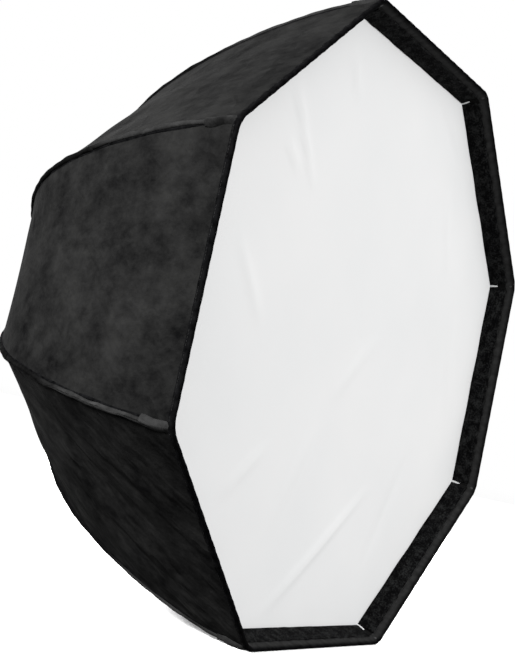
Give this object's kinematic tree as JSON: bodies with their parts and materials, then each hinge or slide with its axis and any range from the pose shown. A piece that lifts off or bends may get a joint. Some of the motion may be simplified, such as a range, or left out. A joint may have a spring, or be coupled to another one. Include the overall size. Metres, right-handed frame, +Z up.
{
  "type": "folding octagonal softbox",
  "caption": "Octagonal folding softbox on an umbrella frame: black panelled cover with silver inside, white front diffuser, and a central shaft that holds the lamp.",
  "frame": {"origin": "on the shaft's axis, 60 mm behind its front end, where a flash bracket clamps it", "axes": "-Y out of the open front along the shaft, +Y to the crown, +Z up with one flat panel at the top and one at the bottom"},
  "size_m": [0.7392, 0.52, 0.7392],
  "materials": {
    "cover_fabric": "satin-matt woven nylon, black outside",
    "silver_lining": "metallised reflective lining",
    "loop_tape": "fuzzy loop tape and webbing",
    "hook_tape": "black hook tape",
    "diffuser_fabric": "white translucent woven diffusion cloth",
    "rib_steel": "black coated rod",
    "stretcher_steel": "bright zinc-plated steel",
    "shaft_metal": "drawn tube",
    "black_plastic": "moulded black nylon",
    "zip_metal": "black enamelled zip slider"
  },
  "bodies": {
    "root": {"shaft": "shaft_metal", "shaft_end_cap": "black_plastic", "crown_notch": "black_plastic", "crown_wire": "stretcher_steel", "rosette": "loop_tape", "rear_ferrule": "black_plastic"},
    "rib_inner_1": {"rib_inner_1": "rib_steel"},
    "rib_outer_1": {"rib_outer_1": "rib_steel"},
    "stretcher_1": {"stretcher_1": "stretcher_steel"},
    "rib_inner_2": {"rib_inner_2": "rib_steel"},
    "rib_outer_2": {"rib_outer_2": "rib_steel"},
    "stretcher_2": {"stretcher_2": "stretcher_steel"},
    "rib_inner_3": {"rib_inner_3": "rib_steel"},
    "rib_outer_3": {"rib_outer_3": "rib_steel"},
    "stretcher_3": {"stretcher_3": "stretcher_steel"},
    "rib_inner_4": {"rib_inner_4": "rib_steel"},
    "rib_outer_4": {"rib_outer_4": "rib_steel"},
    "stretcher_4": {"stretcher_4": "stretcher_steel"},
    "rib_inner_5": {"rib_inner_5": "rib_steel"},
    "rib_outer_5": {"rib_outer_5": "rib_steel"},
    "stretcher_5": {"stretcher_5": "stretcher_steel"},
    "rib_inner_6": {"rib_inner_6": "rib_steel"},
    "rib_outer_6": {"rib_outer_6": "rib_steel"},
    "stretcher_6": {"stretcher_6": "stretcher_steel"},
    "rib_inner_7": {"rib_inner_7": "rib_steel"},
    "rib_outer_7": {"rib_outer_7": "rib_steel"},
    "stretcher_7": {"stretcher_7": "stretcher_steel"},
    "rib_inner_8": {"rib_inner_8": "rib_steel"},
    "rib_outer_8": {"rib_outer_8": "rib_steel"},
    "stretcher_8": {"stretcher_8": "stretcher_steel"},
    "gore_back_1": {"gore_back_1": "cover_fabric"},
    "gore_side_1": {"gore_side_1": "cover_fabric", "lip_1": "loop_tape"},
    "gore_back_2": {"gore_back_2": "cover_fabric"},
    "gore_side_2": {"gore_side_2": "cover_fabric", "lip_2": "loop_tape"},
    "gore_back_3": {"gore_back_3": "cover_fabric"},
    "gore_side_3": {"gore_side_3": "cover_fabric", "lip_3": "loop_tape"},
    "gore_back_4": {"gore_back_4": "cover_fabric"},
    "gore_side_4": {"gore_side_4": "cover_fabric", "lip_4": "loop_tape"},
    "gore_back_5": {"gore_back_5": "cover_fabric"},
    "gore_side_5": {"gore_side_5": "cover_fabric", "lip_5": "loop_tape"},
    "gore_back_6": {"gore_back_6": "cover_fabric"},
    "gore_side_6": {"gore_side_6": "cover_fabric", "lip_6": "loop_tape"},
    "gore_back_7": {"gore_back_7": "cover_fabric"},
    "gore_side_7": {"gore_side_7": "cover_fabric", "lip_7": "loop_tape"},
    "gore_back_8": {"gore_back_8": "cover_fabric"},
    "gore_side_8": {"gore_side_8": "cover_fabric", "lip_8": "loop_tape"},
    "runner": {"runner": "black_plastic", "runner_wire": "stretcher_steel"},
    "diffuser": {"diffuser": "diffuser_fabric", "diffuser_tapes": "hook_tape"},
    "latch_spring": {"latch_spring": "stretcher_steel"},
    "zip_slider": {"zip_slider": "zip_metal"}
  },
  "joints": [
    {"name": "rib_1_fold", "type": "hinge", "parent": "root", "child": "rib_inner_1", "pos_m": [0.00831, 0.39088, 0.00344], "axis": [0.3827, 0, -0.9239], "range_deg": [0, 60], "deforming": ["gore_back_1", "gore_side_1", "lip_1", "gore_back_2", "gore_side_2", "lip_2", "gore_back_3", "gore_side_3", "lip_3", "gore_back_4", "gore_side_4", "lip_4", "gore_back_5", "gore_side_5", "lip_5", "gore_back_6", "gore_side_6", "lip_6", "gore_back_7", "gore_side_7", "lip_7", "gore_back_8", "gore_side_8", "lip_8", "diffuser", "diffuser_tapes", "latch_spring"]},
    {"name": "rib_1_straighten", "type": "hinge", "parent": "rib_inner_1", "child": "rib_outer_1", "pos_m": [0.24063, 0.26955, 0.09967], "axis": [0.3827, 0, -0.9239], "range_deg": [-40.45, 0]},
    {"name": "stretcher_1_swing", "type": "hinge", "parent": "rib_inner_1", "child": "stretcher_1", "pos_m": [0.17792, 0.32512, 0.07369], "axis": [0.3827, 0, -0.9239], "range_deg": [-120.05, 0]},
    {"name": "rib_2_fold", "type": "hinge", "parent": "root", "child": "rib_inner_2", "pos_m": [0.00344, 0.39088, 0.00831], "axis": [0.9239, 0, -0.3827], "range_deg": [0, 60.05]},
    {"name": "rib_2_straighten", "type": "hinge", "parent": "rib_inner_2", "child": "rib_outer_2", "pos_m": [0.09967, 0.26955, 0.24063], "axis": [0.9239, 0, -0.3827], "range_deg": [-40.45, 0]},
    {"name": "stretcher_2_swing", "type": "hinge", "parent": "rib_inner_2", "child": "stretcher_2", "pos_m": [0.07369, 0.32512, 0.17792], "axis": [0.9239, 0, -0.3827], "range_deg": [-120.05, 0]},
    {"name": "rib_3_fold", "type": "hinge", "parent": "root", "child": "rib_inner_3", "pos_m": [-0.00344, 0.39088, 0.00831], "axis": [0.9239, 0, 0.3827], "range_deg": [0, 60.05]},
    {"name": "rib_3_straighten", "type": "hinge", "parent": "rib_inner_3", "child": "rib_outer_3", "pos_m": [-0.09967, 0.26955, 0.24063], "axis": [0.9239, 0, 0.3827], "range_deg": [-40.45, 0]},
    {"name": "stretcher_3_swing", "type": "hinge", "parent": "rib_inner_3", "child": "stretcher_3", "pos_m": [-0.07369, 0.32512, 0.17792], "axis": [0.9239, 0, 0.3827], "range_deg": [-120.05, 0]},
    {"name": "rib_4_fold", "type": "hinge", "parent": "root", "child": "rib_inner_4", "pos_m": [-0.00831, 0.39088, 0.00344], "axis": [0.3827, 0, 0.9239], "range_deg": [0, 60.05]},
    {"name": "rib_4_straighten", "type": "hinge", "parent": "rib_inner_4", "child": "rib_outer_4", "pos_m": [-0.24063, 0.26955, 0.09967], "axis": [0.3827, 0, 0.9239], "range_deg": [-40.45, 0]},
    {"name": "stretcher_4_swing", "type": "hinge", "parent": "rib_inner_4", "child": "stretcher_4", "pos_m": [-0.17792, 0.32512, 0.07369], "axis": [0.3827, 0, 0.9239], "range_deg": [-120.05, 0]},
    {"name": "rib_5_fold", "type": "hinge", "parent": "root", "child": "rib_inner_5", "pos_m": [-0.00831, 0.39088, -0.00344], "axis": [-0.3827, 0, 0.9239], "range_deg": [0, 60.05]},
    {"name": "rib_5_straighten", "type": "hinge", "parent": "rib_inner_5", "child": "rib_outer_5", "pos_m": [-0.24063, 0.26955, -0.09967], "axis": [-0.3827, 0, 0.9239], "range_deg": [-40.45, 0]},
    {"name": "stretcher_5_swing", "type": "hinge", "parent": "rib_inner_5", "child": "stretcher_5", "pos_m": [-0.17792, 0.32512, -0.07369], "axis": [-0.3827, 0, 0.9239], "range_deg": [-120.05, 0]},
    {"name": "rib_6_fold", "type": "hinge", "parent": "root", "child": "rib_inner_6", "pos_m": [-0.00344, 0.39088, -0.00831], "axis": [-0.9239, 0, 0.3827], "range_deg": [0, 60.05]},
    {"name": "rib_6_straighten", "type": "hinge", "parent": "rib_inner_6", "child": "rib_outer_6", "pos_m": [-0.09967, 0.26955, -0.24063], "axis": [-0.9239, 0, 0.3827], "range_deg": [-40.45, 0]},
    {"name": "stretcher_6_swing", "type": "hinge", "parent": "rib_inner_6", "child": "stretcher_6", "pos_m": [-0.07369, 0.32512, -0.17792], "axis": [-0.9239, 0, 0.3827], "range_deg": [-120.05, 0]},
    {"name": "rib_7_fold", "type": "hinge", "parent": "root", "child": "rib_inner_7", "pos_m": [0.00344, 0.39088, -0.00831], "axis": [-0.9239, 0, -0.3827], "range_deg": [0, 60.05]},
    {"name": "rib_7_straighten", "type": "hinge", "parent": "rib_inner_7", "child": "rib_outer_7", "pos_m": [0.09967, 0.26955, -0.24063], "axis": [-0.9239, 0, -0.3827], "range_deg": [-40.45, 0]},
    {"name": "stretcher_7_swing", "type": "hinge", "parent": "rib_inner_7", "child": "stretcher_7", "pos_m": [0.07369, 0.32512, -0.17792], "axis": [-0.9239, 0, -0.3827], "range_deg": [-120.05, 0]},
    {"name": "rib_8_fold", "type": "hinge", "parent": "root", "child": "rib_inner_8", "pos_m": [0.00831, 0.39088, -0.00344], "axis": [-0.3827, 0, -0.9239], "range_deg": [0, 60.05]},
    {"name": "rib_8_straighten", "type": "hinge", "parent": "rib_inner_8", "child": "rib_outer_8", "pos_m": [0.24063, 0.26955, -0.09967], "axis": [-0.3827, 0, -0.9239], "range_deg": [-40.45, 0]},
    {"name": "stretcher_8_swing", "type": "hinge", "parent": "rib_inner_8", "child": "stretcher_8", "pos_m": [0.17792, 0.32512, -0.07369], "axis": [-0.3827, 0, -0.9239], "range_deg": [-120.05, 0]},
    {"name": "cover_back_1_fold", "type": "hinge", "parent": "root", "child": "gore_back_1", "pos_m": [0.00588, 0.39088, 0.00588], "axis": [0.7071, 0, -0.7071], "range_deg": [0, 58.55]},
    {"name": "cover_side_1_fold", "type": "hinge", "parent": "gore_back_1", "child": "gore_side_1", "pos_m": [0.17265, 0.27276, 0.17265], "axis": [0.7071, 0, -0.7071], "range_deg": [-40.45, 0]},
    {"name": "cover_back_2_fold", "type": "hinge", "parent": "root", "child": "gore_back_2", "pos_m": [0, 0.39088, 0.00831], "axis": [1, 0, 0], "range_deg": [0, 58.55]},
    {"name": "cover_side_2_fold", "type": "hinge", "parent": "gore_back_2", "child": "gore_side_2", "pos_m": [0, 0.27276, 0.24417], "axis": [1, 0, 0], "range_deg": [-40.45, 0]},
    {"name": "cover_back_3_fold", "type": "hinge", "parent": "root", "child": "gore_back_3", "pos_m": [-0.00588, 0.39088, 0.00588], "axis": [0.7071, 0, 0.7071], "range_deg": [0, 58.55]},
    {"name": "cover_side_3_fold", "type": "hinge", "parent": "gore_back_3", "child": "gore_side_3", "pos_m": [-0.17265, 0.27276, 0.17265], "axis": [0.7071, 0, 0.7071], "range_deg": [-40.45, 0]},
    {"name": "cover_back_4_fold", "type": "hinge", "parent": "root", "child": "gore_back_4", "pos_m": [-0.00831, 0.39088, 0], "axis": [0, 0, 1], "range_deg": [0, 58.55]},
    {"name": "cover_side_4_fold", "type": "hinge", "parent": "gore_back_4", "child": "gore_side_4", "pos_m": [-0.24417, 0.27276, 0], "axis": [0, 0, 1], "range_deg": [-40.45, 0]},
    {"name": "cover_back_5_fold", "type": "hinge", "parent": "root", "child": "gore_back_5", "pos_m": [-0.00588, 0.39088, -0.00588], "axis": [-0.7071, 0, 0.7071], "range_deg": [0, 58.55]},
    {"name": "cover_side_5_fold", "type": "hinge", "parent": "gore_back_5", "child": "gore_side_5", "pos_m": [-0.17265, 0.27276, -0.17265], "axis": [-0.7071, 0, 0.7071], "range_deg": [-40.45, 0]},
    {"name": "cover_back_6_fold", "type": "hinge", "parent": "root", "child": "gore_back_6", "pos_m": [0, 0.39088, -0.00831], "axis": [-1, 0, 0], "range_deg": [0, 58.55]},
    {"name": "cover_side_6_fold", "type": "hinge", "parent": "gore_back_6", "child": "gore_side_6", "pos_m": [0, 0.27276, -0.24417], "axis": [-1, 0, 0], "range_deg": [-40.45, 0]},
    {"name": "cover_back_7_fold", "type": "hinge", "parent": "root", "child": "gore_back_7", "pos_m": [0.00588, 0.39088, -0.00588], "axis": [-0.7071, 0, -0.7071], "range_deg": [0, 58.55]},
    {"name": "cover_side_7_fold", "type": "hinge", "parent": "gore_back_7", "child": "gore_side_7", "pos_m": [0.17265, 0.27276, -0.17265], "axis": [-0.7071, 0, -0.7071], "range_deg": [-40.45, 0]},
    {"name": "cover_back_8_fold", "type": "hinge", "parent": "root", "child": "gore_back_8", "pos_m": [0.00831, 0.39088, 0], "axis": [0, 0, -1], "range_deg": [0, 58.55]},
    {"name": "cover_side_8_fold", "type": "hinge", "parent": "gore_back_8", "child": "gore_side_8", "pos_m": [0.24417, 0.27276, 0], "axis": [0, 0, -1], "range_deg": [-40.45, 0]},
    {"name": "runner_slide", "type": "slide", "parent": "root", "child": "runner", "axis": [0, -1, 0], "range_m": [0, 0.2527]},
    {"name": "diffuser_off", "type": "slide", "parent": "runner", "child": "diffuser", "axis": [0, -1, 0], "range_m": [0, 0.35]},
    {"name": "latch_press", "type": "slide", "parent": "root", "child": "latch_spring", "axis": [0, 0, -1], "range_m": [0, 0.0026], "stiffness_N_per_m": 700},
    {"name": "zip_run", "type": "hinge", "parent": "gore_side_6", "child": "zip_slider", "pos_m": [0, -0.20194, 0.59412], "axis": [1, 0, 0], "range_deg": [0, 10.88]}
  ],
  "couplings": [
    {"joint": "rib_1_straighten", "follows": "rib_1_fold", "ratio": -0.67333},
    {"joint": "stretcher_1_swing", "follows": "rib_1_fold", "ratio": -2},
    {"joint": "rib_2_fold", "follows": "rib_1_fold", "ratio": 1},
    {"joint": "rib_2_straighten", "follows": "rib_1_fold", "ratio": -0.67333},
    {"joint": "stretcher_2_swing", "follows": "rib_1_fold", "ratio": -2},
    {"joint": "rib_3_fold", "follows": "rib_1_fold", "ratio": 1},
    {"joint": "rib_3_straighten", "follows": "rib_1_fold", "ratio": -0.67333},
    {"joint": "stretcher_3_swing", "follows": "rib_1_fold", "ratio": -2},
    {"joint": "rib_4_fold", "follows": "rib_1_fold", "ratio": 1},
    {"joint": "rib_4_straighten", "follows": "rib_1_fold", "ratio": -0.67333},
    {"joint": "stretcher_4_swing", "follows": "rib_1_fold", "ratio": -2},
    {"joint": "rib_5_fold", "follows": "rib_1_fold", "ratio": 1},
    {"joint": "rib_5_straighten", "follows": "rib_1_fold", "ratio": -0.67333},
    {"joint": "stretcher_5_swing", "follows": "rib_1_fold", "ratio": -2},
    {"joint": "rib_6_fold", "follows": "rib_1_fold", "ratio": 1},
    {"joint": "rib_6_straighten", "follows": "rib_1_fold", "ratio": -0.67333},
    {"joint": "stretcher_6_swing", "follows": "rib_1_fold", "ratio": -2},
    {"joint": "rib_7_fold", "follows": "rib_1_fold", "ratio": 1},
    {"joint": "rib_7_straighten", "follows": "rib_1_fold", "ratio": -0.67333},
    {"joint": "stretcher_7_swing", "follows": "rib_1_fold", "ratio": -2},
    {"joint": "rib_8_fold", "follows": "rib_1_fold", "ratio": 1},
    {"joint": "rib_8_straighten", "follows": "rib_1_fold", "ratio": -0.67333},
    {"joint": "stretcher_8_swing", "follows": "rib_1_fold", "ratio": -2},
    {"joint": "cover_back_1_fold", "follows": "rib_1_fold", "ratio": 0.975},
    {"joint": "cover_side_1_fold", "follows": "rib_1_fold", "ratio": -0.67333},
    {"joint": "cover_back_2_fold", "follows": "rib_1_fold", "ratio": 0.975},
    {"joint": "cover_side_2_fold", "follows": "rib_1_fold", "ratio": -0.67333},
    {"joint": "cover_back_3_fold", "follows": "rib_1_fold", "ratio": 0.975},
    {"joint": "cover_side_3_fold", "follows": "rib_1_fold", "ratio": -0.67333},
    {"joint": "cover_back_4_fold", "follows": "rib_1_fold", "ratio": 0.975},
    {"joint": "cover_side_4_fold", "follows": "rib_1_fold", "ratio": -0.67333},
    {"joint": "cover_back_5_fold", "follows": "rib_1_fold", "ratio": 0.975},
    {"joint": "cover_side_5_fold", "follows": "rib_1_fold", "ratio": -0.67333},
    {"joint": "cover_back_6_fold", "follows": "rib_1_fold", "ratio": 0.975},
    {"joint": "cover_side_6_fold", "follows": "rib_1_fold", "ratio": -0.67333},
    {"joint": "cover_back_7_fold", "follows": "rib_1_fold", "ratio": 0.975},
    {"joint": "cover_side_7_fold", "follows": "rib_1_fold", "ratio": -0.67333},
    {"joint": "cover_back_8_fold", "follows": "rib_1_fold", "ratio": 0.975},
    {"joint": "cover_side_8_fold", "follows": "rib_1_fold", "ratio": -0.67333},
    {"joint": "runner_slide", "follows": "rib_1_fold", "m_per_rad": 0.24083}
  ]
}
